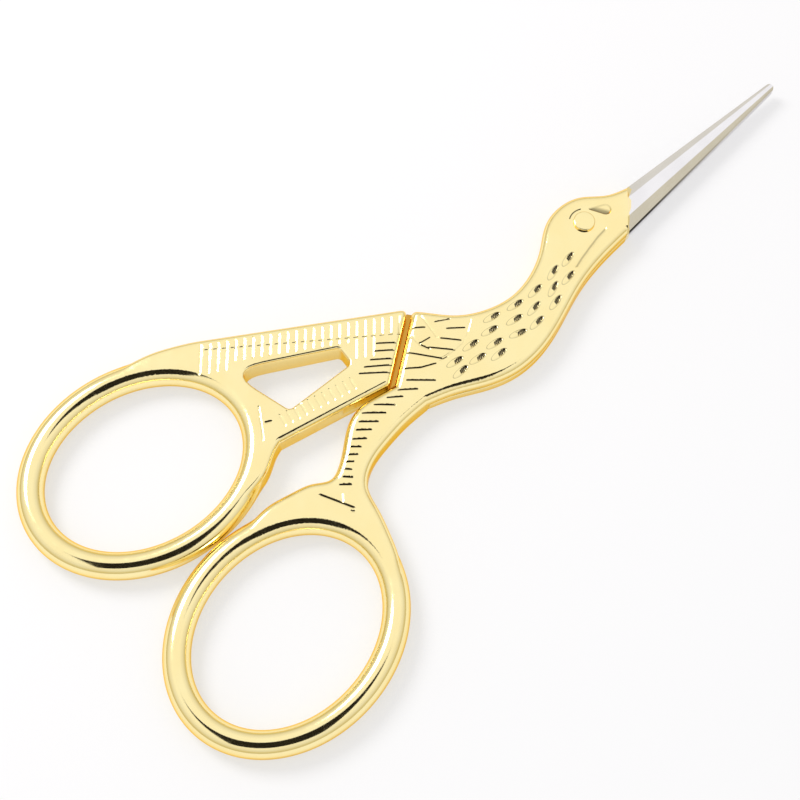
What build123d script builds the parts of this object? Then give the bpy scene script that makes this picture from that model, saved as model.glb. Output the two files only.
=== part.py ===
from build123d import *
import os
from math import acos, atan2, cos, degrees, hypot, radians, sin, sqrt

# Stork embroidery scissors: two lap-jointed halves that turn on the rivet of the stork's eye.
# X runs along the scissors to the blade tips, Y across, Z up from the back to the decorated face.
# The origin is the middle of the closed scissors, on the flat back. Sizes are in millimetres.

os.makedirs("parts", exist_ok=True)

# Overall sizes
handle_reach = 65.7
blade_reach = 28.3
overall_width = 45.0
body_thickness = 3.1

# Pivot rivet, whose head is the stork's eye
pivot_offset = 1.25
rivet_shank_radius = 0.8
rivet_head_radius = 1.15
rivet_head_height = 0.4
rivet_head_round = 0.15
rivet_foot_radius = 1.2
rivet_foot_depth = 0.45
rivet_seat_gap = 0.01
pivot_clearance = 0.04

# Lap joint between the halves, and the seam between the tail and the stork's body
lap_gap = 0.03
seam_gap = 0.5
seam_length = 8.8
seam_angle = 36.1
shoulder_round = 0.75
tail_corner_round = 0.6
leg_gap = 0.25

# Stork's body, from the crotch where seam and leg meet to the end of the gold plating
crotch_reach = 27.9
crotch_offset = 0.9
head_reach = 6.7
stork_depth = 6.5
plating_slant = 3.9
belly_kink_back = 1.5
belly_kink_depth = 2.95
body_edge_round = 0.7
tail_edge_round = 0.5
back_edge_round = 0.4

# Blades
spine_root_height = 1.55
edge_root_depth = 2.6
tip_width = 0.87
tip_round = 0.38
tip_thickness = 0.6
edge_land = 0.3
spine_drop = 0.6
edge_bevel_share = 0.28
spine_bevel_share = 0.3

# Finger bows
bow_length = 26.7
bow_tilt = 9.2
bow_band = 2.8
bow_edge_round = 1.3
bow_stop_gap = 0.16

# Tail window
window_corner_round = 0.7
window_broad_round = 1.6
window_edge_round = 0.3

# Engraving
groove_depth = 0.16
feather_width = 0.5
line_width = 0.22
stroke_width = 0.3
leg_bar_width = 0.26
teardrop_depth = 0.25
teardrop_radius = 0.65
teardrop_length = 2.05
teardrop_angle = 137.0
teardrop_ahead = 2.8
teardrop_below = 0.4
tail_margin = 0.75
tail_stroke_pitch = 0.91
tail_stroke_start = 0.9
tail_stroke_lean = 9.6
tail_row_gap = 0.16
tail_row_depth = 2.9
tail_row_end_depth = 1.25
tail_second_depth = 3.0
tail_long_depth = 4.9
tail_far_depth = 3.9
arm_tick_start = 1.3
arm_tick_pitch = 0.82
arm_tick_length = 1.33
arm_tick_margin = 1.22
eyebrow_radius = 1.6
eyebrow_start = 61.0
eyebrow_sweep = 62.0

# Bow ellipse: its width follows from the overall width, the tilt and the stop gap
tilt_cos = cos(radians(bow_tilt))
tilt_sin = sin(radians(bow_tilt))
bow_long_radius = bow_length / 2
bow_half_height = (overall_width - bow_stop_gap) / 4
bow_short_radius = sqrt(bow_half_height**2 - (bow_long_radius * tilt_sin) ** 2) / tilt_cos
bow_half_reach = sqrt((bow_long_radius * tilt_cos) ** 2 + (bow_short_radius * tilt_sin) ** 2)
bow_y = overall_width / 2 - bow_half_height

# Frame of the closed scissors
overall_length = handle_reach + blade_reach
tip_x = overall_length / 2
pivot_x = tip_x - blade_reach
crotch_x = pivot_x - crotch_reach
leg_reach = handle_reach - crotch_reach - bow_long_radius - bow_half_reach
bow_x = crotch_x - leg_reach - bow_long_radius
plating_x = pivot_x + head_reach
plating_low_x = plating_x - plating_slant
stork_span = plating_x - crotch_x
lap_top = body_thickness / 2 + lap_gap / 2
lap_bottom = body_thickness / 2 - lap_gap / 2

# Outline of the body, as shares of stork_span from the crotch and of stork_depth from the axis
back_shares = [
    (0.237, 0.746),
    (0.298, 0.392),
    (0.387, 0.123),
    (0.474, 0.034),
    (0.566, 0.123),
    (0.647, 0.346),
    (0.720, 0.615),
    (0.792, 0.700),
    (0.864, 0.608),
    (0.931, 0.346),
]
belly_shares = [
    (0.772, -0.454),
    (0.650, -0.592),
    (0.526, -0.831),
    (0.416, -0.985),
    (0.318, -0.992),
    (0.220, -0.838),
    (0.130, -0.608),
]

# Outlines of leg and tail up to the bows, as shares of leg_reach behind the crotch and of bow_y
leg_outer_shares = [(0.125, -0.264), (0.404, -0.301), (0.646, -0.368), (0.815, -0.505)]
leg_inner_shares = [
    (0.198, 0.102),
    (0.358, 0.120),
    (0.512, 0.084),
    (0.699, -0.044),
    (0.897, -0.190),
    (1.013, -0.230),
]
tail_top_shares = [(1.039, 1.590)]
tail_low_shares = [(1.138, 0.332)]

# Flares into the bows, as shares of a bow's two radii from its centre, y away from the axis.
# Each ends inside the crest of its bow.
leg_outer_flare_shares = [
    (1.101, -0.295),
    (1.033, -0.026),
    (0.947, 0.208),
    (0.857, 0.334),
    (0.753, 0.436),
    (0.624, 0.486),
]
leg_inner_flare_shares = [
    (0.861, -0.856),
    (0.704, -0.915),
    (0.487, -0.962),
    (0.262, -0.937),
    (0.055, -0.896),
    (-0.110, -0.810),
]
tail_top_flare_shares = [(0.780, 0.718), (0.576, 0.815), (0.367, 0.861), (0.147, 0.873), (-0.092, 0.810)]
tail_low_flare_shares = [
    (0.824, -0.703),
    (0.727, -0.771),
    (0.622, -0.833),
    (0.459, -0.871),
    (0.257, -0.881),
    (0.073, -0.810),
]
window_shares = [(1.050, 1.178), (0.125, 0.673), (0.143, 0.483), (0.870, 0.509)]

# Feather marks on the breast and neck: place in the body's shares, and angle in degrees
feather_places_share = [
    (0.370, -0.062, -10),
    (0.451, -0.154, -7),
    (0.529, -0.185, 5),
    (0.613, -0.138, 17),
    (0.679, -0.123, 13),
    (0.335, -0.215, -10),
    (0.416, -0.338, -8),
    (0.486, -0.400, 9),
    (0.575, -0.354, 20),
    (0.636, -0.369, 9),
    (0.260, -0.200, -5),
    (0.318, -0.431, -7),
    (0.393, -0.554, -16),
    (0.460, -0.615, 5),
    (0.549, -0.554, 13),
    (0.188, -0.246, -8),
    (0.246, -0.446, -7),
    (0.303, -0.615, -2),
    (0.179, -0.431, 1),
]
feather_length_share = 0.059

# Folded wing: each groove is a short chain of points in the body's shares
wing_lines_share = [
    [(0.214, 0.723), (0.208, 0.480), (0.202, 0.262)],
    [(0.318, 0.138), (0.283, 0.010), (0.246, -0.077), (0.197, -0.077), (0.159, -0.062)],
    [(0.147, 0.554), (0.147, 0.338), (0.159, 0.185)],
    [(0.231, 0.492), (0.272, 0.369)],
    [(0.243, 0.277), (0.286, 0.092)],
    [(0.208, 0.215), (0.249, -0.031)],
    [(0.162, 0.215), (0.214, -0.092)],
    [(0.101, 0.385), (0.168, -0.077), (0.182, -0.092)],
    [(0.061, 0.200), (0.098, 0.046), (0.142, -0.062)],
    [(0.168, 0.646), (0.197, 0.523)],
    [(0.150, 0.369), (0.185, 0.338)],
]

# Leg bars: inner and outer end of each, in the leg's shares
leg_bars_share = [
    [(-0.125, 0.018), (-0.323, -0.159)],
    [(0.000, 0.000), (-0.143, -0.115)],
    [(0.125, 0.009), (0.009, -0.080)],
    [(0.259, 0.035), (0.116, -0.097)],
    [(0.396, 0.044), (0.233, -0.097)],
    [(0.475, 0.000), (0.341, -0.115)],
    [(0.547, -0.044), (0.439, -0.133)],
    [(0.628, -0.089), (0.530, -0.168)],
    [(0.690, -0.133), (0.620, -0.195)],
    [(0.754, -0.177), (0.690, -0.230)],
    [(0.815, -0.213), (0.763, -0.257)],
    [(0.870, -0.257), (0.826, -0.301)],
    [(0.932, -0.301), (0.870, -0.363)],
    [(1.004, -0.337), (0.923, -0.407)],
]
foot_lines_share = [
    [(1.202, -0.292), (1.050, -0.593)],
    [(1.039, -0.407), (1.086, -0.469)],
    [(1.068, -0.611), (1.086, -0.593)],
]
upper_foot_lines_share = [
    [(1.068, 0.717), (1.246, 0.443)],
    [(1.121, 0.558), (1.068, 0.531)],
]
tail_cross_lines_share = [
    [(-0.160, 0.478), (-0.305, 0.363)],
    [(-0.090, 0.434), (-0.242, 0.319)],
    [(-0.009, 0.390), (-0.171, 0.266)],
    [(0.081, 0.372), (-0.125, 0.221)],
    [(0.160, 0.354), (-0.064, 0.177)],
]
tail_strokes = 24
tail_long_strokes = 3
tail_far_strokes = 4
tail_plain_strokes = 3
arm_ticks = 11


def body_place(share):
    """Place of a body point, from its shares."""
    return (crotch_x + share[0] * stork_span, share[1] * stork_depth)


def handle_place(share):
    """Place of a leg or tail point, from its shares."""
    return (crotch_x - share[0] * leg_reach, share[1] * bow_y)


def bow_place(side, share):
    """Place near a bow, from shares of its radii. Side is 1 for the upper bow, -1 for the lower."""
    return (bow_x + share[0] * bow_long_radius, side * (bow_y + share[1] * bow_short_radius))


def beside(origin, angle, along, across):
    """Place measured from an origin, along a direction in degrees and square to its left."""
    turn = radians(angle)
    return (
        origin[0] + along * cos(turn) - across * sin(turn),
        origin[1] + along * sin(turn) + across * cos(turn),
    )


def heading(start, end):
    """Direction from one place to another, in degrees."""
    return degrees(atan2(end[1] - start[1], end[0] - start[0]))


def outline_run(side, shares, flare_shares):
    """Outline of a leg or tail edge, with its flare into a bow."""
    return [handle_place(share) for share in shares] + [bow_place(side, share) for share in flare_shares]


crotch = (crotch_x, crotch_offset)
body_seam_start = beside(crotch, seam_angle, 0, -seam_gap / 2)
body_seam_end = beside(crotch, seam_angle, seam_length, -seam_gap / 2)
tail_seam_start = beside(crotch, seam_angle, 0, seam_gap / 2)
tail_seam_end = beside(crotch, seam_angle, seam_length, seam_gap / 2)
belly_kink = (crotch_x + belly_kink_back, -belly_kink_depth)
crotch_low = (body_seam_start[0] + leg_gap, body_seam_start[1] + leg_gap)
kink_low = (belly_kink[0] + leg_gap, belly_kink[1])
spine_slope = (spine_root_height - tip_width / 2) / (tip_x - plating_low_x)
plating_top = (plating_x, spine_root_height - spine_slope * plating_slant)
plating_bottom = (plating_low_x, -edge_root_depth)
lower_bow_centre = (bow_x, -bow_y)
upper_bow_centre = (bow_x, bow_y)

back_run = [body_seam_end] + [body_place(share) for share in back_shares] + [plating_top]
belly_run = [plating_bottom] + [body_place(share) for share in belly_shares]
leg_outer_run = [belly_kink] + outline_run(-1, leg_outer_shares, leg_outer_flare_shares)
leg_inner_run = [body_seam_start] + outline_run(-1, leg_inner_shares, leg_inner_flare_shares)
tail_top_run = outline_run(1, tail_top_shares, tail_top_flare_shares)
tail_low_run = outline_run(1, tail_low_shares, tail_low_flare_shares)
window_corners = [handle_place(share) for share in window_shares]
tail_top_tangents = [
    Vector(*tail_top_run[0]) - Vector(*tail_seam_end),
    Vector(*tail_top_run[-1]) - Vector(*tail_top_run[-2]),
]


def bow_oval(side, inset):
    """Tilted ellipse of a bow, inset from its outline. Side is 1 for the upper bow, -1 for the lower."""
    with BuildSketch() as oval:
        with Locations(Location((bow_x, side * bow_y, 0), (0, 0, -side * bow_tilt))):
            Ellipse(bow_long_radius - inset, bow_short_radius - inset)
    return oval.sketch


def bow_ring(side):
    """Finger bow: an oval ring with a nearly round section."""
    with BuildPart() as ring:
        with BuildSketch():
            add(bow_oval(side, 0))
            add(bow_oval(side, bow_band), mode=Mode.SUBTRACT)
        extrude(amount=body_thickness)
        rims = ring.faces().filter_by(Axis.Z).edges()
        fillet(rims, radius=bow_edge_round)
    return ring.part


def nearest(vertices, place):
    """The vertex that lies nearest to a place in plan."""
    return min(vertices, key=lambda vertex: hypot(vertex.X - place[0], vertex.Y - place[1]))


def front_outline():
    """Body and leg in one outline, which ends under the crest of the lower bow."""
    with BuildSketch() as outline:
        with BuildLine():
            Line(body_seam_start, body_seam_end)
            Spline(*back_run)
            Line(plating_top, plating_bottom)
            Spline(*belly_run, belly_kink)
            Spline(*leg_outer_run)
            Polyline(leg_outer_run[-1], lower_bow_centre, leg_inner_run[-1])
            Spline(*leg_inner_run)
        make_face()
        fillet(nearest(outline.vertices(), body_seam_end), radius=shoulder_round)
        add(bow_oval(-1, bow_band / 2), mode=Mode.SUBTRACT)
    return outline.sketch


def leg_outline():
    """Back layer of the leg, from the rear half's body to the crest of the lower bow."""
    with BuildSketch() as outline:
        with BuildLine():
            Line(body_seam_start, belly_kink)
            Spline(*leg_outer_run)
            Polyline(leg_outer_run[-1], lower_bow_centre, leg_inner_run[-1])
            Spline(*leg_inner_run)
        make_face()
        add(bow_oval(-1, bow_band / 2), mode=Mode.SUBTRACT)
    return outline.sketch


def rear_outline():
    """Back layer of the rear half: body and tail in one outline."""
    with BuildSketch() as outline:
        with BuildLine():
            Line(tail_seam_end, body_seam_end)
            Spline(*back_run)
            Line(plating_top, plating_bottom)
            Spline(*belly_run, kink_low)
            Polyline(kink_low, crotch_low, tail_low_run[0])
            Spline(*tail_low_run)
            Polyline(tail_low_run[-1], upper_bow_centre, tail_top_run[-1])
            Spline(*tail_top_run, tangents=tail_top_tangents)
            Line(tail_top_run[0], tail_seam_end)
        make_face()
        add(bow_oval(1, bow_band / 2), mode=Mode.SUBTRACT)
    return outline.sketch


def tail_outline():
    """Decorated layer of the tail, beside the seam."""
    with BuildSketch() as outline:
        with BuildLine():
            Polyline(tail_top_run[0], tail_seam_end, tail_seam_start, tail_low_run[0])
            Spline(*tail_low_run)
            Polyline(tail_low_run[-1], upper_bow_centre, tail_top_run[-1])
            Spline(*tail_top_run, tangents=tail_top_tangents)
        make_face()
        fillet(nearest(outline.vertices(), tail_seam_end), radius=tail_corner_round)
        fillet(nearest(outline.vertices(), tail_seam_start), radius=tail_corner_round)
        add(bow_oval(1, bow_band / 2), mode=Mode.SUBTRACT)
    return outline.sketch


def window_outline():
    """Three-cornered window in the tail."""
    with BuildSketch() as window:
        with BuildLine():
            Polyline(*window_corners, close=True)
        make_face()
        fillet(nearest(window.vertices(), window_corners[0]), radius=window_broad_round)
        for corner in window_corners[1:]:
            fillet(nearest(window.vertices(), corner), radius=window_corner_round)
    return window.sketch


def on_line(edge, start, end):
    """Whether an edge runs from one place to another in plan."""
    middle = edge @ 0.5
    reach = hypot(start[0] - end[0], start[1] - end[1])
    detour = hypot(middle.X - start[0], middle.Y - start[1]) + hypot(middle.X - end[0], middle.Y - end[1])
    return detour - reach < lap_gap


def free_rim(face):
    """Edges of a face that get rounded: not the plating line, the parting lines or the bow's crest."""
    parting_lines = [(plating_top, plating_bottom), (body_seam_start, belly_kink), (crotch_low, kink_low)]
    edges = face.edges().filter_by(GeomType.ELLIPSE, reverse=True)
    return [edge for edge in edges if not any(on_line(edge, *line) for line in parting_lines)]


def top_layer(outline, floor, radius):
    """Layer from a floor height to the decorated face, with its upper rim rounded."""
    with BuildPart() as layer:
        with BuildSketch(Plane.XY.offset(floor)):
            add(outline)
        extrude(amount=body_thickness - floor)
        fillet(free_rim(layer.faces().sort_by(Axis.Z)[-1]), radius=radius)
    return layer.part


def back_layer(outline, ceiling, radius):
    """Layer from the flat back to a ceiling height, with its lower rim rounded."""
    with BuildPart() as layer:
        with BuildSketch():
            add(outline)
        extrude(amount=ceiling)
        fillet(free_rim(layer.faces().sort_by(Axis.Z)[0]), radius=radius)
    return layer.part


def grooves(chains, width):
    """Round-ended grooves, each along a chain of places."""
    with BuildSketch() as marks:
        for chain in chains:
            for start, end in zip(chain, chain[1:]):
                middle = ((start[0] + end[0]) / 2, (start[1] + end[1]) / 2, 0)
                with Locations(Location(middle, (0, 0, heading(start, end)))):
                    SlotCenterToCenter(hypot(end[0] - start[0], end[1] - start[1]), width)
    return marks.sketch


def feather_marks():
    """Oval feather marks over the breast and the neck."""
    with BuildSketch() as marks:
        for along, across, angle in feather_places_share:
            with Locations(Location((*body_place((along, across)), 0), (0, 0, angle))):
                Ellipse(feather_length_share * stork_span / 2, feather_width / 2)
    return marks.sketch


def tail_stroke_places():
    """Feather strokes of the tail: an upper row, and a second row that leaves room for the window."""
    edge_angle = heading(tail_seam_end, tail_top_run[0])
    edge_length = hypot(tail_top_run[0][0] - tail_seam_end[0], tail_top_run[0][1] - tail_seam_end[1])
    stroke_angle = edge_angle + 90 - tail_stroke_lean
    chains = []
    for index in range(tail_strokes):
        along = tail_stroke_start + index * tail_stroke_pitch
        top = beside(tail_seam_end, edge_angle, along, 0)
        row_depth = tail_row_depth + (tail_row_end_depth - tail_row_depth) * along / edge_length
        spans = [(tail_margin, row_depth - tail_row_gap)]
        if index >= tail_strokes - tail_far_strokes:
            spans.append((row_depth + tail_row_gap, tail_far_depth))
        elif index >= tail_plain_strokes + tail_long_strokes:
            spans.append((row_depth + tail_row_gap, tail_second_depth))
        elif index >= tail_plain_strokes:
            spans.append((row_depth + tail_row_gap, tail_long_depth))
        for start, end in spans:
            chains.append([beside(top, stroke_angle, start, 0), beside(top, stroke_angle, end, 0)])
    return chains


def arm_tick_places():
    """Short ticks along the lower arm of the tail, square to its edge."""
    arm_angle = heading(tail_low_run[0], tail_seam_start)
    chains = []
    for index in range(arm_ticks):
        along = arm_tick_start + index * arm_tick_pitch
        foot = beside(tail_low_run[0], arm_angle, along, arm_tick_margin)
        head = beside(tail_low_run[0], arm_angle, along, arm_tick_margin + arm_tick_length)
        chains.append([foot, head])
    return chains


def chain_places(chains, place):
    """Chains of shares turned into chains of places."""
    return [[place(share) for share in chain] for chain in chains]


def stork_marks():
    """Engraving of the body, head and legs: feathers, wing, eyebrow, leg bars and toes."""
    with BuildSketch() as marks:
        add(feather_marks())
        add(grooves(chain_places(wing_lines_share, body_place), line_width))
        add(grooves(chain_places(leg_bars_share, handle_place), leg_bar_width))
        add(grooves(chain_places(foot_lines_share, handle_place), line_width))
        with BuildLine() as eyebrow:
            CenterArc((pivot_x, pivot_offset), eyebrow_radius, eyebrow_start, eyebrow_sweep)
        SlotArc(eyebrow.wires()[0], line_width)
    return marks.sketch


def tail_marks():
    """Engraving of the tail: feather strokes, cross lines, arm ticks and toes beside the bow."""
    with BuildSketch() as marks:
        add(grooves(tail_stroke_places(), stroke_width))
        add(grooves(arm_tick_places(), stroke_width))
        add(grooves(chain_places(tail_cross_lines_share, handle_place), line_width))
        add(grooves(chain_places(upper_foot_lines_share, handle_place), line_width))
    return marks.sketch


def teardrop():
    """Drop-shaped cheek patch in front of the eye: a round end and a point."""
    centre = (pivot_x + teardrop_ahead, pivot_offset - teardrop_below)
    flank = degrees(acos(teardrop_radius / teardrop_length))
    with BuildSketch() as drop:
        with Locations(centre):
            Circle(teardrop_radius)
        with BuildLine():
            Polyline(
                beside(centre, teardrop_angle, teardrop_length, 0),
                beside(centre, teardrop_angle - flank, teardrop_radius, 0),
                centre,
                beside(centre, teardrop_angle + flank, teardrop_radius, 0),
                close=True,
            )
        make_face()
    return drop.sketch


def blade_plan():
    """Plan of both blades: the plating line, the two long edges and the blunt round tip."""
    with BuildSketch() as plan:
        with BuildLine():
            Polyline(plating_bottom, plating_top, (tip_x, tip_width / 2), (tip_x, -tip_width / 2), close=True)
        make_face()
        for corner_y in (tip_width / 2, -tip_width / 2):
            fillet(nearest(plan.vertices(), (tip_x, corner_y)), radius=tip_round)
    return plan.sketch


def facet(side, first, second, third):
    """Plane through three points, whose normal looks away from the lap joint."""
    across = Vector(*second) - Vector(*first)
    normal = across.cross(Vector(*third) - Vector(*first))
    return Plane(origin=first, x_dir=across, z_dir=normal * side * (1 if normal.Z > 0 else -1))


def blade(side, root_spine, root_edge):
    """Blade with a flat face between a spine bevel and a cutting bevel. Side is 1 above the lap, -1 below."""
    inner = lap_top if side > 0 else lap_bottom
    root_width = root_spine - root_edge
    tip_spine = tip_width / 2 if root_width > 0 else -tip_width / 2
    root_height = inner + side * lap_bottom
    tip_height = inner + side * tip_thickness
    root_spine_ridge = (plating_low_x, root_spine - spine_bevel_share * root_width, root_height)
    tip_spine_ridge = (tip_x, tip_spine * (1 - 2 * spine_bevel_share), tip_height)
    root_edge_ridge = (plating_low_x, root_edge + edge_bevel_share * root_width, root_height)
    tip_edge_ridge = (tip_x, -tip_spine * (1 - 2 * edge_bevel_share), tip_height)
    spine_foot = (plating_low_x, root_spine, root_height - side * spine_drop)
    edge_foot = (plating_low_x, root_edge, inner + side * edge_land)
    with BuildPart() as blank:
        with BuildSketch(Plane.XY.offset(inner)):
            add(blade_plan())
        extrude(amount=side * lap_bottom)
        split(bisect_by=facet(side, root_spine_ridge, tip_spine_ridge, tip_edge_ridge), keep=Keep.BOTTOM)
        split(bisect_by=facet(side, root_spine_ridge, tip_spine_ridge, spine_foot), keep=Keep.BOTTOM)
        split(bisect_by=facet(side, root_edge_ridge, tip_edge_ridge, edge_foot), keep=Keep.BOTTOM)
    return blank.part


def rivet_form(gap):
    """Shank and countersunk foot of the rivet, made larger all round by a gap."""
    with BuildPart() as form:
        with BuildSketch(Plane.XZ.offset(-pivot_offset)):
            with BuildLine():
                Polyline(
                    (pivot_x, 0),
                    (pivot_x + rivet_foot_radius + gap, 0),
                    (pivot_x + rivet_shank_radius + gap, rivet_foot_depth),
                    (pivot_x + rivet_shank_radius + gap, body_thickness),
                    (pivot_x, body_thickness),
                    close=True,
                )
            make_face()
        revolve(axis=Axis((pivot_x, pivot_offset, 0), (0, 0, 1)))
    return form.part


# Front half: head, neck, body, leg and lower bow, in one forging that is gold plated
with BuildPart() as front_handle:
    add(top_layer(front_outline(), lap_top, body_edge_round))
    add(back_layer(leg_outline(), lap_top, back_edge_round))
    add(bow_ring(-1))
    with BuildSketch(Plane.XY.offset(body_thickness)):
        add(stork_marks())
    extrude(amount=-groove_depth, mode=Mode.SUBTRACT)
    with BuildSketch(Plane.XY.offset(body_thickness)):
        add(teardrop())
    extrude(amount=-teardrop_depth, mode=Mode.SUBTRACT)
    with BuildSketch():
        add(stork_marks())
    extrude(amount=groove_depth, mode=Mode.SUBTRACT)
    with Locations((pivot_x, pivot_offset, body_thickness)):
        Hole(rivet_shank_radius + rivet_seat_gap)

front_handle.part.label = "front_handle"
export_step(front_handle.part, "parts/front_handle.step")


# Bare steel blade of the front half, from the end of the plating to the tip
with BuildPart() as front_blade:
    add(blade(1, spine_root_height, -edge_root_depth))

front_blade.part.label = "front_blade"
export_step(front_blade.part, "parts/front_blade.step")


# Rear half: the hidden body layer, the fanned tail with its window, and the upper bow
with BuildPart() as rear_handle:
    add(back_layer(rear_outline(), lap_bottom, back_edge_round))
    add(top_layer(tail_outline(), lap_bottom, tail_edge_round))
    with BuildSketch():
        add(window_outline())
    extrude(amount=body_thickness, mode=Mode.SUBTRACT)
    level_faces = rear_handle.faces().filter_by(Axis.Z).sort_by(Axis.Z)
    for face in (level_faces[0], level_faces[-1]):
        fillet(face.inner_wires().edges(), radius=window_edge_round)
    add(bow_ring(1))
    with BuildSketch(Plane.XY.offset(body_thickness)):
        add(tail_marks())
    extrude(amount=-groove_depth, mode=Mode.SUBTRACT)
    with BuildSketch():
        add(stork_marks())
        add(tail_marks())
    extrude(amount=groove_depth, mode=Mode.SUBTRACT)
    add(rivet_form(pivot_clearance), mode=Mode.SUBTRACT)

rear_handle.part.label = "rear_handle"
export_step(rear_handle.part, "parts/rear_handle.step")


# Bare steel blade of the rear half, turned over so that its edge meets the front blade's edge
with BuildPart() as rear_blade:
    add(blade(-1, -edge_root_depth, spine_root_height))

rear_blade.part.label = "rear_blade"
export_step(rear_blade.part, "parts/rear_blade.step")


# Pivot rivet: round head that stands proud as the eye, shank, and foot closed into the back
with BuildPart() as pivot_rivet:
    add(rivet_form(0))
    with BuildSketch(Plane.XY.offset(body_thickness)):
        with Locations((pivot_x, pivot_offset)):
            Circle(rivet_head_radius)
    extrude(amount=rivet_head_height)
    fillet(pivot_rivet.faces().sort_by(Axis.Z)[-1].edges(), radius=rivet_head_round)

pivot_rivet.part.label = "pivot_rivet"
export_step(pivot_rivet.part, "parts/pivot_rivet.step")
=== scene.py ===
from math import acos, atan2, cos, degrees, hypot, pi, radians, sin, sqrt

import bpy
import numpy as np
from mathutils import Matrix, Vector
from mathutils.geometry import delaunay_2d_cdt


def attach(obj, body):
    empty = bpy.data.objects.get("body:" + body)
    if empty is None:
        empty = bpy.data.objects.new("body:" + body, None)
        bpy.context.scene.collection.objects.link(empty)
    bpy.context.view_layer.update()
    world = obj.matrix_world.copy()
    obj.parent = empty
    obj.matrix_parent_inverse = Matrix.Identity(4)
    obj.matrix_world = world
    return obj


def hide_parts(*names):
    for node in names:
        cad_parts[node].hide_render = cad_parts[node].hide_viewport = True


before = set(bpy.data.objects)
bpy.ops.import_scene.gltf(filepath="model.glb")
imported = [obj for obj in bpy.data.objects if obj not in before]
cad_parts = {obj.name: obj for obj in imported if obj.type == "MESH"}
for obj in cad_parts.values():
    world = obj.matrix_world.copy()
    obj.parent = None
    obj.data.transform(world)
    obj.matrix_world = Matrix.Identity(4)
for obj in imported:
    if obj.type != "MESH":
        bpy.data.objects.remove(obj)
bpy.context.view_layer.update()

# Stork embroidery scissors. The gold-plated halves are built here as closed meshes from their outlines,
# with soft flares into the finger bows and cut engraving; the ground blades are the frame's own nodes.
# All sizes are in millimetres, in the frame of the closed scissors, and MM turns them into metres.
MM = 0.001

# Sizes shared with the solids
handle_reach = 65.7
blade_reach = 28.3
overall_width = 45.0
body_thickness = 3.1
pivot_offset = 1.25
rivet_shank_radius = 0.8
rivet_head_radius = 1.15
rivet_head_height = 0.4
rivet_head_round = 0.15
rivet_foot_radius = 1.2
rivet_foot_depth = 0.45
pivot_clearance = 0.04
rivet_seat_gap = 0.01
lap_gap = 0.03
seam_gap = 0.5
seam_length = 8.8
seam_angle = 36.1
shoulder_round = 0.75
tail_corner_round = 0.6
leg_gap = 0.25
crotch_reach = 27.9
crotch_offset = 0.9
head_reach = 6.7
stork_depth = 6.5
plating_slant = 3.9
belly_kink_back = 1.5
belly_kink_depth = 2.95
body_edge_round = 0.7
tail_edge_round = 0.5
back_edge_round = 0.4
window_edge_round = 0.3
lap_edge_round = 0.12
spine_root_height = 1.55
edge_root_depth = 2.6
tip_width = 0.87
bow_length = 26.7
bow_tilt = 9.2
bow_band = 2.8
bow_stop_gap = 0.16
window_corner_round = 0.7
window_broad_round = 1.6

# Engraving
feather_width = 0.7
feather_depth = 0.075
feather_floor_share = 0.5
feather_rim_share = 0.14
# Painted shade: a thin dark line round each feather's rim
feather_rim_shade = 0.5
feather_cuts = ((0.02, 0.15), (0.12, 0.2), (0.22, 0.2), (0.32, 0.15), (0.4, 0.08))  # share of the length, half width
feather_cut_turn = 70.0
line_width = 0.22
line_depth = 0.05
stroke_width = 0.34
stroke_depth = 0.07
leg_bar_width = 0.22
leg_bar_depth = 0.055
hatch_width = 0.23
hatch_depth = 0.05
crease_width = 0.56
crease_depth = 0.12
dash_width = 0.12
dash_depth = 0.03
dash_reach = 0.22
teardrop_depth = 0.14
teardrop_radius = 0.65
teardrop_length = 2.05
teardrop_angle = 137.0
teardrop_ahead = 2.8
teardrop_below = 0.4
teardrop_steps = 24
teardrop_shade_share = (0.35, 0.5, 0.6, 0.6)
tail_margin = 0.75
tail_stroke_pitch = 0.91
tail_stroke_start = 0.9
tail_stroke_lean = 9.6
tail_row_gap = 0.16
tail_row_depth = 2.9
tail_row_end_depth = 1.25
tail_second_depth = 3.0
tail_long_depth = 4.9
tail_far_depth = 3.9
arm_tick_start = 1.3
arm_tick_pitch = 0.82
arm_tick_length = 1.33
arm_tick_margin = 1.22
eyebrow_radius = 1.6
eyebrow_start = 61.0
eyebrow_sweep = 62.0
eyebrow_points = 7
tail_strokes = 24
tail_long_strokes = 3
tail_far_strokes = 4
tail_plain_strokes = 3
arm_ticks = 11

# Mesh rows
row_spacing = 0.16
round_steps = 6
ring_steps = 20
ring_points = 480
step_width = 0.012
equator_wall = 0.01
skirt_slope = 2.5
blend_power = 3.0
crown_share = 0.28
crown_reach = 1.2
blend_pitch = 0.3
smooth_angle = 32.0
rivet_sides = 72
head_dome = 0.07
row_slack = 0.02
feather_rings = ((1 + feather_rim_share, 26), (1, 26), (1 - feather_rim_share, 24), (feather_floor_share, 18))
corner_points = 9
circle_points = 48
head_steps = 6
dome_share = 0.6
bore_share = 0.999
grid_clearance_share = 0.6
far_drop = 99.0
least_drop = 0.001
least_area = 1e-7
merge_distance = 1e-4
least_length2 = 1e-12
chunk = 4000

# Marks on the blades: painted shade on the steel near the plane between the blades, a painted shadow on the front
# blade's land near its root, and the ragged end of the plating
land_low = 1.58
land_high = 2.0
land_reach = 14.0
land_soft = 0.005
# Painted shade on the steel, by distance from the plane between the blades
steel_shade_low = 0.3
steel_shade_high = 0.6
plating_ragged = 1.2
plating_soft = 0.1

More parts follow.
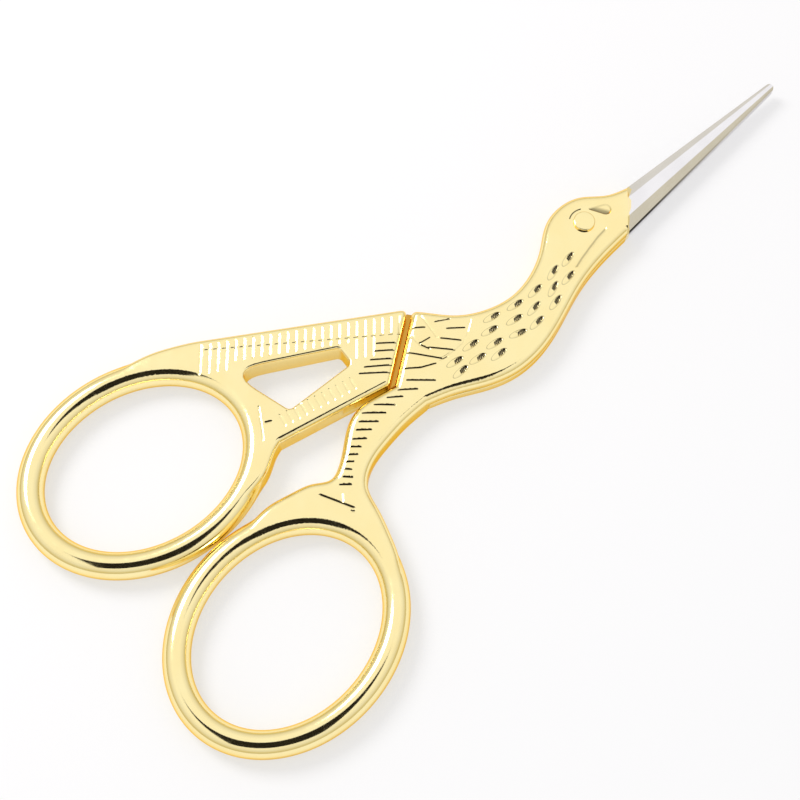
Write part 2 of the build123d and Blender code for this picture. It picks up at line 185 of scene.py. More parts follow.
# Colours, and the scales of the noise in them
gold_colours = ((1.0, 0.845, 0.42), (1.0, 0.87, 0.46))
# Painted amber shade in the seam between the halves
seam_painted_shade = (0.62, 0.33, 0.05)
# Painted shade: near black laid into the engraving
painted_shade_colour = (0.02, 0.014, 0.01)
gold_edge_tint = (1.0, 0.62, 0.12)
steel_colours = ((0.86, 0.85, 0.86), (0.9, 0.89, 0.9))
# Painted shade of the steel near the plane between the blades
steel_painted_shade = (0.5, 0.47, 0.48)
# Painted shadow on the front blade's land
land_painted_shadow = (0.02, 0.018, 0.018)
plated_colour = (1.0, 0.85, 0.47)
floor_colours = ((0.93, 0.915, 0.92), (0.94, 0.935, 0.94))
card_colour = (0.02, 0.018, 0.016)
sky_colour = (1, 0.99, 1)
warm_colour = (0.95, 0.85, 0.56)
gold_cloud_scale = 260
gold_grain_scale = 9000
gold_polish_scale = 1400
steel_cloud_scale = 300
steel_line_scale = 12000
ragged_scale = 900
floor_scale = 6
card_scale = 10
bump_depth = 0.00001

# Surroundings: heights on the sky are shares of straight up
floor_size = 3000
floor_white_share = 0.5
card_size = 360
card_distance = 420
key_place = (-60, 230, 260)
key_size = 160
key_power = 0.55
plain_strength = 0.75
horizon_strength = 0.62
full_strength = 1.0
full_height = 0.8
warm_low = 0.08
warm_high = 0.42
look_place = (-9.783, -0.990, 3.1)
camera_at = (-49.65, -45.75, 151.45)
camera_lens = 70.29
camera_sensor = 36

# Frame of the closed scissors
tilt_cos = cos(radians(bow_tilt))
tilt_sin = sin(radians(bow_tilt))
bow_long_radius = bow_length / 2
bow_half_height = (overall_width - bow_stop_gap) / 4
bow_short_radius = sqrt(bow_half_height**2 - (bow_long_radius * tilt_sin) ** 2) / tilt_cos
bow_half_reach = sqrt((bow_long_radius * tilt_cos) ** 2 + (bow_short_radius * tilt_sin) ** 2)
bow_y = overall_width / 2 - bow_half_height
tip_x = (handle_reach + blade_reach) / 2
pivot_x = tip_x - blade_reach
crotch_x = pivot_x - crotch_reach
leg_reach = handle_reach - crotch_reach - bow_long_radius - bow_half_reach
bow_x = crotch_x - leg_reach - bow_long_radius
plating_x = pivot_x + head_reach
plating_low_x = plating_x - plating_slant
stork_span = plating_x - crotch_x
half_thickness = body_thickness / 2
lap_top = half_thickness + lap_gap / 2
lap_bottom = half_thickness - lap_gap / 2

# Outlines: the body in shares of its span and depth, the legs in shares of leg_reach and bow_y
back_shares = [
    (0.237, 0.746), (0.298, 0.392), (0.387, 0.123), (0.474, 0.034), (0.566, 0.123), (0.647, 0.346),
    (0.720, 0.615), (0.792, 0.700), (0.864, 0.608), (0.931, 0.346),
]
belly_shares = [
    (0.772, -0.454), (0.650, -0.592), (0.526, -0.831), (0.416, -0.985), (0.318, -0.992), (0.220, -0.838),
    (0.130, -0.608),
]
leg_outer_shares = [(0.125, -0.264), (0.404, -0.301), (0.646, -0.368), (0.815, -0.505)]
leg_inner_shares = [
    (0.198, 0.102), (0.358, 0.120), (0.512, 0.084), (0.699, -0.044), (0.897, -0.190), (1.013, -0.230),
]
tail_top_shares = [(1.039, 1.590)]
tail_low_shares = [(1.138, 0.332)]
leg_outer_flare_shares = [
    (1.101, -0.295), (1.033, -0.026), (0.947, 0.208), (0.857, 0.334), (0.753, 0.436), (0.624, 0.486),
]
leg_inner_flare_shares = [
    (0.861, -0.856), (0.704, -0.915), (0.487, -0.962), (0.262, -0.937), (0.055, -0.896), (-0.110, -0.810),
]
tail_top_flare_shares = [(0.780, 0.718), (0.576, 0.815), (0.367, 0.861), (0.147, 0.873), (-0.092, 0.810)]
tail_low_flare_shares = [
    (0.824, -0.703), (0.727, -0.771), (0.622, -0.833), (0.459, -0.871), (0.257, -0.881), (0.073, -0.810),
]
window_shares = [(1.050, 1.178), (0.125, 0.673), (0.143, 0.483), (0.870, 0.509)]

# Engraved places: feathers with their angle, then chains of points
feather_places_share = [
    (0.370, -0.062, -10), (0.451, -0.154, -7), (0.529, -0.185, 5), (0.613, -0.138, 17), (0.679, -0.123, 13),
    (0.335, -0.215, -10), (0.416, -0.338, -8), (0.486, -0.400, 9), (0.575, -0.354, 20), (0.636, -0.369, 9),
    (0.260, -0.200, -5), (0.318, -0.431, -7), (0.393, -0.554, -16), (0.460, -0.615, 5), (0.549, -0.554, 13),
    (0.188, -0.246, -8), (0.246, -0.446, -7), (0.303, -0.615, -2), (0.179, -0.431, 1),
]
feather_length_share = 0.059
wing_ribs_share = [
    [(0.214, 0.723), (0.208, 0.480), (0.202, 0.262)],
    [(0.318, 0.138), (0.283, 0.010), (0.246, -0.077), (0.197, -0.077), (0.159, -0.062)],
    [(0.147, 0.554), (0.147, 0.338), (0.159, 0.185)],
]
wing_barbs_share = [
    [(0.231, 0.492), (0.272, 0.369)], [(0.243, 0.277), (0.286, 0.092)], [(0.208, 0.215), (0.249, -0.031)],
    [(0.162, 0.215), (0.214, -0.092)], [(0.101, 0.385), (0.168, -0.077), (0.182, -0.092)],
    [(0.061, 0.200), (0.098, 0.046), (0.142, -0.062)], [(0.168, 0.646), (0.197, 0.523)],
    [(0.150, 0.369), (0.185, 0.338)],
]
head_crease_share = [[(0.837, -0.128), (0.804, -0.150), (0.759, -0.202), (0.714, -0.260), (0.683, -0.311)]]
leg_bars_share = [
    [(-0.125, 0.018), (-0.323, -0.159)], [(0.000, 0.000), (-0.143, -0.115)], [(0.125, 0.009), (0.009, -0.080)],
    [(0.259, 0.035), (0.116, -0.097)], [(0.396, 0.044), (0.233, -0.097)], [(0.475, 0.000), (0.341, -0.115)],
    [(0.547, -0.044), (0.439, -0.133)], [(0.628, -0.089), (0.530, -0.168)], [(0.690, -0.133), (0.620, -0.195)],
    [(0.754, -0.177), (0.690, -0.230)], [(0.815, -0.213), (0.763, -0.257)], [(0.870, -0.257), (0.826, -0.301)],
    [(0.932, -0.301), (0.870, -0.363)], [(1.004, -0.337), (0.923, -0.407)],
]
foot_lines_share = [
    [(1.202, -0.292), (1.050, -0.593)], [(1.039, -0.407), (1.086, -0.469)], [(1.068, -0.611), (1.086, -0.593)],
]
upper_foot_lines_share = [
    [(1.068, 0.717), (1.246, 0.443)], [(1.121, 0.558), (1.068, 0.531)],
]
tail_cross_lines_share = [
    [(-0.160, 0.478), (-0.305, 0.363)], [(-0.090, 0.434), (-0.242, 0.319)], [(-0.009, 0.390), (-0.171, 0.266)],
    [(0.081, 0.372), (-0.125, 0.221)], [(0.160, 0.354), (-0.064, 0.177)],
]


def body_place(share):
    return (crotch_x + share[0] * stork_span, share[1] * stork_depth)


def handle_place(share):
    return (crotch_x - share[0] * leg_reach, share[1] * bow_y)


def bow_place(side, share):
    return (bow_x + share[0] * bow_long_radius, side * (bow_y + share[1] * bow_short_radius))


def beside(origin, angle, along, across):
    """Place measured from an origin, along a direction in degrees and square to its left."""
    turn = radians(angle)
    return (
        origin[0] + along * cos(turn) - across * sin(turn),
        origin[1] + along * sin(turn) + across * cos(turn),
    )


def heading(start, end):
    return degrees(atan2(end[1] - start[1], end[0] - start[0]))


def smooth_run(points, start_angle=None):
    """Cubic curve through points as a dense line; it may leave its first point at a given angle."""
    p = np.array(points, float)
    step = np.linalg.norm(np.diff(p, axis=0), axis=1)
    knots = np.concatenate([[0], np.cumsum(step)])
    count = len(p)
    slopes = np.diff(p, axis=0) / step[:, None]
    matrix = np.eye(count)
    right = np.zeros((count, 2))
    for i in range(1, count - 1):
        matrix[i, i - 1 : i + 2] = step[i - 1], 2 * (step[i - 1] + step[i]), step[i]
        right[i] = 6 * (slopes[i] - slopes[i - 1])
    if start_angle is not None:
        matrix[0, :2] = 2 * step[0], step[0]
        right[0] = 6 * (slopes[0] - np.array([cos(radians(start_angle)), sin(radians(start_angle))]))
    bend = np.linalg.solve(matrix, right)
    places = np.linspace(0, knots[-1], max(2, int(knots[-1] / row_spacing) + 1))
    i = np.clip(np.searchsorted(knots, places, side="right") - 1, 0, count - 2)
    a = ((knots[i + 1] - places) / step[i])[:, None]
    b = 1 - a
    h2 = (step[i] ** 2)[:, None] / 6
    return a * p[i] + b * p[i + 1] + ((a**3 - a) * bend[i] + (b**3 - b) * bend[i + 1]) * h2


def straight(start, end):
    count = max(2, int(hypot(end[0] - start[0], end[1] - start[1]) / row_spacing) + 1)
    return np.linspace(start, end, count)


def trim_end(line, length):
    """The line without the last stretch of that length."""
    step = np.linalg.norm(np.diff(line, axis=0), axis=1)
    left = np.cumsum(step[::-1])[::-1]
    keep = line[:-1][left > length]
    i = len(keep) - 1
    part = (left[i] - length) / step[i]
    return np.vstack([keep, line[i] + part * (line[i + 1] - line[i])])


def joined(runs, rounds):
    """Runs one after another as one line. rounds gives the corner radius between each run and the next."""
    runs = [np.array(run) for run in runs]
    pieces = []
    for i in range(len(runs) - 1):
        radius = rounds[i]
        if radius:
            corner = runs[i][-1]
            before = runs[i][-2] - corner
            after = runs[i + 1][1] - corner
            cosine = before @ after / np.linalg.norm(before) / np.linalg.norm(after)
            length = radius / np.tan(acos(np.clip(cosine, -1, 1)) / 2)
            runs[i] = trim_end(runs[i], length)
            runs[i + 1] = trim_end(runs[i + 1][::-1], length)[::-1]
            t = np.linspace(0, 1, corner_points)[1:-1, None]
            arc = (1 - t) ** 2 * runs[i][-1] + 2 * t * (1 - t) * corner + t**2 * runs[i + 1][0]
            pieces += [runs[i], arc]
        else:
            pieces.append(runs[i][:-1])
    pieces.append(runs[-1])
    return np.vstack(pieces)


def oval(side, share):
    """Closed line round a bow: share 0 is its outline and 1 its hole."""
    a = bow_long_radius - bow_band * share
    b = bow_short_radius - bow_band * share
    t = np.linspace(0, 2 * pi, ring_points, endpoint=False)
    x, y = a * np.cos(t), b * np.sin(t)
    return np.c_[bow_x + x * tilt_cos + side * y * tilt_sin, side * bow_y - side * x * tilt_sin + y * tilt_cos]


def closed(line):
    return np.vstack([line, line[:1]])


def distance(points, line):
    """Distance of each point to an open line."""
    a, b = line[:-1], line[1:]
    span = b - a
    length2 = np.maximum((span**2).sum(1), least_length2)
    best = np.empty(len(points))
    for i in range(0, len(points), chunk):
        p = points[i : i + chunk, None]
        t = np.clip(((p - a) * span).sum(2) / length2, 0, 1)
        off = p - a - t[:, :, None] * span
        best[i : i + chunk] = np.sqrt((off**2).sum(2).min(1))
    return best


def inside(points, line):
    """Whether each point lies in a closed line."""
    a = line
    b = np.roll(line, -1, axis=0)
    result = np.zeros(len(points), bool)
    for i in range(0, len(points), chunk):
        x, y = points[i : i + chunk, :1], points[i : i + chunk, 1:]
        spans = (a[:, 1] > y) != (b[:, 1] > y)
        with np.errstate(divide="ignore", invalid="ignore"):
            cross = a[:, 0] + (y - a[:, 1]) / (b[:, 1] - a[:, 1]) * (b[:, 0] - a[:, 0])
        result[i : i + chunk] = (spans & (x < cross)).sum(1) % 2 == 1
    return result


def normals_of(line):
    """Left normals along a line."""
    along = np.gradient(line, axis=0)
    along /= np.linalg.norm(along, axis=1)[:, None]
    return np.c_[-along[:, 1], along[:, 0]]


# Named points and outlines
crotch = (crotch_x, crotch_offset)
body_seam_start = beside(crotch, seam_angle, 0, -seam_gap / 2)
body_seam_end = beside(crotch, seam_angle, seam_length, -seam_gap / 2)
tail_seam_start = beside(crotch, seam_angle, 0, seam_gap / 2)
tail_seam_end = beside(crotch, seam_angle, seam_length, seam_gap / 2)
belly_kink = (crotch_x + belly_kink_back, -belly_kink_depth)
crotch_low = (body_seam_start[0] + leg_gap, body_seam_start[1] + leg_gap)
kink_low = (belly_kink[0] + leg_gap, belly_kink[1])
spine_slope = (spine_root_height - tip_width / 2) / (tip_x - plating_low_x)
plating_top = (plating_x, spine_root_height - spine_slope * plating_slant)
plating_bottom = (plating_low_x, -edge_root_depth)


def outline_run(side, shares, flare_shares):
    return [handle_place(share) for share in shares] + [bow_place(side, share) for share in flare_shares]


seam_line = straight(body_seam_start, body_seam_end)
back_line = smooth_run([body_seam_end] + [body_place(share) for share in back_shares] + [plating_top])
belly_line = smooth_run([plating_bottom] + [body_place(share) for share in belly_shares] + [belly_kink])
leg_outer_line = smooth_run([belly_kink] + outline_run(-1, leg_outer_shares, leg_outer_flare_shares))
leg_inner_line = smooth_run([body_seam_start] + outline_run(-1, leg_inner_shares, leg_inner_flare_shares))
tail_top_points = outline_run(1, tail_top_shares, tail_top_flare_shares)
tail_top_line = smooth_run(tail_top_points, heading(tail_seam_end, tail_top_points[0]))
tail_low_points = outline_run(1, tail_low_shares, tail_low_flare_shares)
tail_low_line = smooth_run(tail_low_points)

# Free edges run from inside one bow's crest round to the other end; the polygon closes at the bow's centre
front_back_edge = joined([leg_inner_line[::-1], seam_line, back_line], [0, shoulder_round])
front_belly_edge = joined([belly_line, leg_outer_line], [0])
front_polygon = np.vstack([front_back_edge, front_belly_edge, [(bow_x, -bow_y)]])
leg_polygon = np.vstack([leg_inner_line[::-1], leg_outer_line, [(bow_x, -bow_y)]])

tail_edge = joined(
    [
        tail_low_line[::-1],
        straight(tail_low_points[0], tail_seam_start),
        straight(tail_seam_start, tail_seam_end),
        straight(tail_seam_end, tail_top_points[0]),
        tail_top_line,
    ],
    [0, tail_corner_round, tail_corner_round, 0],
)
tail_polygon = np.vstack([tail_edge, [(bow_x, bow_y)]])
rear_top_edge = joined(
    [
        tail_top_line[::-1],
        straight(tail_top_points[0], tail_seam_end),
        straight(tail_seam_end, body_seam_end),
        back_line,
    ],
    [0, 0, 0],
)
rear_belly_line = smooth_run([plating_bottom] + [body_place(share) for share in belly_shares] + [kink_low])
rear_arm_line = straight(crotch_low, tail_low_points[0])
rear_low_edge = np.vstack([straight(kink_low, crotch_low)[1:], rear_arm_line[1:-1]])
rear_polygon = np.vstack([rear_top_edge, rear_belly_line, rear_low_edge, tail_low_line, [(bow_x, bow_y)]])


def window_outline():
    corners = [handle_place(share) for share in window_shares]
    rounds = [window_broad_round] + [window_corner_round] * 3
    middles = [((a[0] + b[0]) / 2, (a[1] + b[1]) / 2) for a, b in zip(corners, corners[1:] + corners[:1])]
    runs = [straight(middles[-1], corners[0])]
    for i in range(3):
        runs.append(straight(corners[i], corners[i + 1]))
    runs.append(straight(corners[3], middles[-1]))
    return joined(runs, rounds)[:-1]


window_line = window_outline()


# Engraving: each mark is a V groove along a chain, or a feather with a flat floor
def chains_at(chains, place):
    return [[place(share) for share in chain] for chain in chains]


def feather_list():
    marks = []
    for along, across, angle in feather_places_share:
        marks.append((body_place((along, across)), angle))
    return marks


def hatch_chains():
    """Short cuts across the head end of each feather."""
    length = feather_length_share * stork_span
    chains = []
    for centre, angle in feather_list():
        for along, half_width in feather_cuts:
            middle = beside(centre, angle, along * length, 0)
            turn = angle + feather_cut_turn
            chains.append([beside(middle, turn, -half_width, 0), beside(middle, turn, half_width, 0)])
    return chains


tail_edge_angle = heading(tail_seam_end, tail_top_points[0])
tail_edge_length = hypot(tail_top_points[0][0] - tail_seam_end[0], tail_top_points[0][1] - tail_seam_end[1])


def row_depth_at(along):
    """Depth of the line between the two rows of tail strokes."""
    return tail_row_depth + (tail_row_end_depth - tail_row_depth) * along / tail_edge_length


def tail_stroke_chains():
    stroke_angle = tail_edge_angle + 90 - tail_stroke_lean
    chains = []
    for index in range(tail_strokes):
        along = tail_stroke_start + index * tail_stroke_pitch
        top = beside(tail_seam_end, tail_edge_angle, along, 0)
        row_depth = row_depth_at(along)
        spans = [(tail_margin, row_depth - tail_row_gap)]
        if index >= tail_strokes - tail_far_strokes:
            spans.append((row_depth + tail_row_gap, tail_far_depth))
        elif index >= tail_plain_strokes + tail_long_strokes:
            spans.append((row_depth + tail_row_gap, tail_second_depth))
        elif index >= tail_plain_strokes:
            spans.append((row_depth + tail_row_gap, tail_long_depth))
        for start, end in spans:
            chains.append([beside(top, stroke_angle, start, 0), beside(top, stroke_angle, end, 0)])
    return chains


def tail_row_chains():
    """Dashes between the two rows of tail strokes."""
    chains = []
    for index in range(tail_strokes - 1):
        along = tail_stroke_start + (index + 0.5) * tail_stroke_pitch
        depth = row_depth_at(along)
        chains.append([beside(tail_seam_end, tail_edge_angle, along + way * dash_reach, depth) for way in (-1, 1)])
    return chains


def arm_tick_chains():
    arm_angle = heading(tail_low_points[0], tail_seam_start)
    chains = []
    for index in range(arm_ticks):
        along = arm_tick_start + index * arm_tick_pitch
        foot = beside(tail_low_points[0], arm_angle, along, arm_tick_margin)
        head = beside(tail_low_points[0], arm_angle, along, arm_tick_margin + arm_tick_length)
        chains.append([foot, head])
    return chains


def eyebrow_chain():
    angles = [eyebrow_start + eyebrow_sweep * i / (eyebrow_points - 1) for i in range(eyebrow_points)]
    return [beside((pivot_x, pivot_offset), angle, eyebrow_radius, 0) for angle in angles]


def teardrop_line():
    centre = (pivot_x + teardrop_ahead, pivot_offset - teardrop_below)
    flank = degrees(acos(teardrop_radius / teardrop_length))
    point = beside(centre, teardrop_angle, teardrop_length, 0)
    start = teardrop_angle + flank
    sweep = 360 - 2 * flank
    turns = [start + sweep * i / teardrop_steps for i in range(teardrop_steps + 1)]
    arc = [beside(centre, turn, teardrop_radius, 0) for turn in turns]
    return np.vstack([straight(point, arc[0])[:-1], arc, straight(arc[-1], point)[1:-1]])


# Chains with their width, depth and how much painted shade darkens the bottom
body_grooves = [
    (chains_at(wing_ribs_share, body_place), stroke_width, stroke_depth, 0.0),
    (chains_at(wing_barbs_share, body_place) + [eyebrow_chain()], line_width, line_depth, 1.0),
    (chains_at(head_crease_share, body_place), crease_width, crease_depth, 0.45),
    (chains_at(leg_bars_share, handle_place), leg_bar_width, leg_bar_depth, 1.0),
    (chains_at(foot_lines_share, handle_place), stroke_width, stroke_depth, 0.2),
    (hatch_chains(), hatch_width, hatch_depth, 1.8),
]
tail_grooves = [
    (tail_stroke_chains(), stroke_width, stroke_depth, 0.0),
    (tail_row_chains(), dash_width, dash_depth, 1.0),
    (arm_tick_chains(), stroke_width, stroke_depth, 0.1),
    (chains_at(tail_cross_lines_share, handle_place), line_width, line_depth, 1.0),
    (chains_at(upper_foot_lines_share, handle_place), stroke_width, stroke_depth, 0.3),
]
feathers = feather_list()
teardrop = teardrop_line()


def groove_cut(points, grooves, column=2):
    """Depth of the V grooves at each point, or with column 3 their painted shade."""
    cut = np.zeros(len(points))
    for groove in grooves:
        for chain in groove[0]:
            line = np.array(chain)
            low, high = line.min(0) - groove[1], line.max(0) + groove[1]
            near = np.all((points > low) & (points < high), axis=1)
            if near.any():
                t = distance(points[near], line) / (groove[1] / 2)
                cut[near] = np.maximum(cut[near], groove[column] * np.clip(1 - t, 0, 1))
    return cut


def feather_rounds(points):
    """For each feather, how far the points are from its centre: 1 on its outline."""
    half_length = feather_length_share * stork_span / 2
    for centre, angle in feathers:
        c, s = cos(radians(angle)), sin(radians(angle))
        off = points - centre
        u = (off[:, 0] * c + off[:, 1] * s) / half_length
        v = (off[:, 1] * c - off[:, 0] * s) / (feather_width / 2)
        yield np.sqrt(u * u + v * v)


def feather_cut(points):
    """Depth of the feathers at each point: a flat floor with a sloping wall."""
    cut = np.zeros(len(points))
    for away in feather_rounds(points):
        cut = np.maximum(cut, feather_depth * np.clip((1 - away) / (1 - feather_floor_share), 0, 1))
    return cut


def feather_painted_shade(points):
    """A thin line of painted shade round each feather."""
    dark = np.zeros(len(points))
    for away in feather_rounds(points):
        dark = np.maximum(dark, feather_rim_shade * np.clip(1 - np.abs(away - 1) / feather_rim_share, 0, 1))
    return dark


def teardrop_cut(points):
    """Depth of the cheek patch: a flat floor with a sloping wall."""
    cut = np.zeros(len(points))
    near = np.linalg.norm(points - teardrop.mean(0), axis=1) < 2 * teardrop_length
    wall = distance(points[near], closed(teardrop))
    cut[near] = np.where(inside(points[near], teardrop), teardrop_depth * np.clip(wall / teardrop_depth, 0, 1), 0)
    return cut


def teardrop_painted_shade(points):
    """Painted shade: the lower part of the cheek patch is darker, more so towards its point."""
    off = points - np.array(beside((pivot_x, pivot_offset), 0, teardrop_ahead, -teardrop_below))
    turn = radians(teardrop_angle)
    along = (off[:, 0] * cos(turn) + off[:, 1] * sin(turn)) / teardrop_length
    across = (off[:, 0] * sin(turn) - off[:, 1] * cos(turn)) / teardrop_radius
    middle, gain, loss, most = teardrop_shade_share
    share = np.clip(middle + along * gain - across * loss, 0, most)
    return np.where(teardrop_cut(points) > teardrop_depth / 2, share, 0)


class Net:
    """Points and fixed edges for one triangulation in plan."""

    def __init__(self):
        self.points = []
        self.edges = []

    def line(self, points, keep=None, loop=False):
        """Adds a line of points; where keep is false they are left out and the line breaks."""
        keep = np.ones(len(points), bool) if keep is None else keep
        numbers = []
        for point, kept in zip(points, keep):
            if kept:
                numbers.append(len(self.points))
                self.points.append((float(point[0]), float(point[1])))
            else:
                numbers.append(None)
        pairs = list(zip(numbers, numbers[1:] + numbers[:1])) if loop else list(zip(numbers, numbers[1:]))
        self.edges += [(a, b) for a, b in pairs if a is not None and b is not None]

    def dots(self, points):
        self.points += [(float(x), float(y)) for x, y in points]

    def grooves(self, grooves):
        """Bottom line and rim of each groove."""
        for chains, width, _, _ in grooves:
            for chain in chains:
                line = np.array(chain, float)
                fine = np.vstack([straight(a, b)[:-1] for a, b in zip(line[:-1], line[1:])] + [line[-1:]])
                self.line(fine)
                side = normals_of(fine) * width / 2
                start = beside(fine[0], heading(fine[1], fine[0]), width / 2, 0)
                end = beside(fine[-1], heading(fine[-2], fine[-1]), width / 2, 0)
                self.line(np.vstack([fine + side, [end], (fine - side)[::-1], [start]]), loop=True)

    def feathers(self):
        half_length = feather_length_share * stork_span / 2
        for centre, angle in feathers:
            for share, count in feather_rings:
                ring = []
                for i in range(count):
                    t = 2 * pi * i / count
                    along = share * half_length * cos(t)
                    ring.append(beside(centre, angle, along, share * feather_width / 2 * sin(t)))
                self.line(ring, loop=True)

    def rim(self, edge, radius, edges, polygon, steps=round_steps):
        """Rows of a rounded edge at growing insets, kept where no other edge is nearer."""
        for i in range(1, steps + 1):
            inset = radius * (1 - cos(pi / 2 * i / steps))
            for way in (1, -1):
                row = edge + way * normals_of(edge) * inset
                self.line(row, (nearest_edge(row, edges) > inset - row_slack) & inside(row, polygon))

    def ring(self, side):
        """Rows round a bow from its outline to its hole, closer together towards both."""
        for i in range(ring_steps + 1):
            self.line(oval(side, (1 - cos(pi * i / ring_steps)) / 2), loop=True)


def round_drop(inset, radius):
    """How far a rounded edge lies below its face at an inset."""
    inset = np.clip(inset, 0, radius)
    return radius - np.sqrt(radius**2 - (radius - inset) ** 2)


def nearest_edge(points, edges):
    return np.min([distance(points, edge) for edge in edges], axis=0)


def plate_drop(points, edges, polygon, radius):
    """Drop of a plate with rounded rims and a slight crown; it goes on falling outside the outline."""
    away = nearest_edge(points, edges)
    inset = np.where(in_or_on(points, polygon, closed(polygon)), away, -away)
    crown_depth = crown_share * radius
    crown = crown_depth * (1 - np.clip(inset / crown_reach, 0, 1)) ** 2
    return np.where(inset > 0, round_drop(inset, radius) + crown, radius + crown_depth - skirt_slope * inset)


def ring_drop(points, side):
    """Drop of a bow's rounded section, and the share of the way from its outline to its hole."""
    outer, hole = oval(side, 0), oval(side, 1)
    from_outer = distance(points, closed(outer))
    from_outer = np.where(inside(points, outer), from_outer, -from_outer)
    from_hole = distance(points, closed(hole))
    from_hole = np.where(inside(points, hole), -from_hole, from_hole)
    share = np.clip(from_outer / np.maximum(from_outer + from_hole, least_drop), 0, 1)
    drop = half_thickness * (1 - np.sqrt(np.clip(1 - (2 * share - 1) ** 2, 0, 1)))
    drop = np.minimum(drop, half_thickness - equator_wall)
    outside = -np.minimum(np.minimum(from_outer, from_hole), 0)
    past_crest = (share > 0.5) & (from_outer > 0)
    return drop + skirt_slope * outside, past_crest


def blended(plate, ring, past_crest):
    """Soft union of plate and bow. The plate ends at the bow's crest."""
    plate = np.maximum(np.where(past_crest, far_drop, plate), least_drop)
    soft = (plate**-blend_power + np.maximum(ring, least_drop) ** -blend_power) ** (-1 / blend_power)
    return np.minimum(soft, half_thickness - equator_wall)


def from_pivot(points):
    return np.linalg.norm(points - np.array([pivot_x, pivot_offset]), axis=1)


def circle(radius, count=circle_points):
    t = np.linspace(0, 2 * pi, count, endpoint=False)
    return np.c_[pivot_x + radius * np.cos(t), pivot_offset + radius * np.sin(t)]


def in_or_on(points, polygon, edge):
    """In a polygon or on its edge."""
    return inside(points, polygon) | (distance(points, edge) < step_width / 2)


def grid(area, edges, pitch):
    """Even points in an area, clear of its edges."""
    low = np.min([edge.min(0) for edge in edges], axis=0)
    high = np.max([edge.max(0) for edge in edges], axis=0)
    x, y = np.meshgrid(np.arange(low[0], high[0], pitch), np.arange(low[1], high[1], pitch))
    x[::2] += pitch / 2
    points = np.c_[x.ravel(), y.ravel()]
    points = points[area(points)]
    return points[nearest_edge(points, edges) > pitch * grid_clearance_share]


def placed(name, data):
    """A new object in the scene."""
    piece = bpy.data.objects.new(name, data)
    bpy.context.scene.collection.objects.link(piece)
    return piece


def smooth_piece(name, mesh):
    """A new object with smooth faces, sharp only where they meet at a steep angle."""
    for polygon in mesh.polygons:
        polygon.use_smooth = True
    mesh.set_sharp_from_angle(angle=radians(smooth_angle))
    return placed(name, mesh)


def half_mesh(name, net, area, top_of, bottom_of, painted_shade_of):
    """Closed mesh between two heights over one triangulation, with walls along its borders."""
    result = delaunay_2d_cdt([Vector(p) for p in net.points], net.edges, [], 0, merge_distance)
    flat = np.array([tuple(v) for v in result[0]])
    faces = np.array(result[2])
    middle = flat[faces].mean(1)
    a, b, c = flat[faces[:, 0]], flat[faces[:, 1]], flat[faces[:, 2]]
    size = (b[:, 0] - a[:, 0]) * (c[:, 1] - a[:, 1]) - (b[:, 1] - a[:, 1]) * (c[:, 0] - a[:, 0])
    faces = faces[area(middle) & (np.abs(size) > least_area)]
    used = np.unique(faces)
    number = np.full(len(flat), -1)
    number[used] = np.arange(len(used))
    flat, faces = flat[used], number[faces]
    count = len(flat)
    top, bottom = top_of(flat), bottom_of(flat)
    places = np.vstack([np.c_[flat, top], np.c_[flat, bottom]]) * MM
    sides = {}
    for face in faces.tolist():
        for i in range(3):
            sides[(face[i], face[(i + 1) % 3])] = True
    border = [side for side in sides if (side[1], side[0]) not in sides]
    polygons = faces.tolist() + (faces[:, ::-1] + count).tolist()
    polygons += [[start, start + count, end + count, end] for start, end in border]
    mesh = bpy.data.meshes.new(name)
    mesh.from_pydata(places.tolist(), [], polygons)
    mesh.validate()
    # Painted shade at each point, kept in the attribute engraving for the gold material
    dark = np.concatenate([painted_shade_of(flat, True), painted_shade_of(flat, False)]).astype(np.float32)
    mesh.attributes.new("engraving", "FLOAT", "POINT").data.foreach_set("value", dark)
    return smooth_piece(name, mesh)


# Front half: the body's lap layer, and the leg and lower bow in full thickness
front_edges = [front_back_edge, front_belly_edge]
leg_edges = [leg_inner_line, leg_outer_line]
parting = straight(body_seam_start, belly_kink)
parting_way = np.array(belly_kink) - np.array(body_seam_start)
lower_outline, lower_hole = oval(-1, 0), oval(-1, 1)
upper_outline, upper_hole = oval(1, 0), oval(1, 1)
shank_bore = rivet_shank_radius + rivet_seat_gap
rear_bore = rivet_shank_radius + pivot_clearance


def front_area(points):
    solid = inside(points, front_polygon) | inside(points, lower_outline)
    return solid & ~inside(points, lower_hole) & (from_pivot(points) > shank_bore * bore_share)


def in_lap(points):
    """Right of the parting line, where the front half is one layer thick."""
    off = points - np.array(body_seam_start)
    return off[:, 0] * parting_way[1] - off[:, 1] * parting_way[0] < -step_width / 2 * np.linalg.norm(parting_way)


def front_groove(points, top):
    if top:
        return np.maximum(groove_cut(points, body_grooves) + feather_cut(points), teardrop_cut(points))
    return np.where(in_lap(points), 0, groove_cut(points, body_grooves))


# Painted shade of the front half: groove bottoms, feather rims and the cheek patch, none on the lap face
def front_painted_shade(points, top):
    dark = np.maximum(groove_cut(points, body_grooves, 3), feather_painted_shade(points))
    return np.maximum(dark, teardrop_painted_shade(points)) if top else np.where(in_lap(points), 0, dark)


def front_top(points):
    plate = plate_drop(points, front_edges, front_polygon, body_edge_round)
    ring, past_crest = ring_drop(points, -1)
    return body_thickness - blended(plate, ring, past_crest) - front_groove(points, True)


def front_bottom(points):
    plate = plate_drop(points, leg_edges, leg_polygon, back_edge_round)
    ring, past_crest = ring_drop(points, -1)
    lap = lap_top + round_drop(nearest_edge(points, front_edges), lap_edge_round)
    return np.where(in_lap(points), lap, blended(plate, ring, past_crest) + front_groove(points, False))


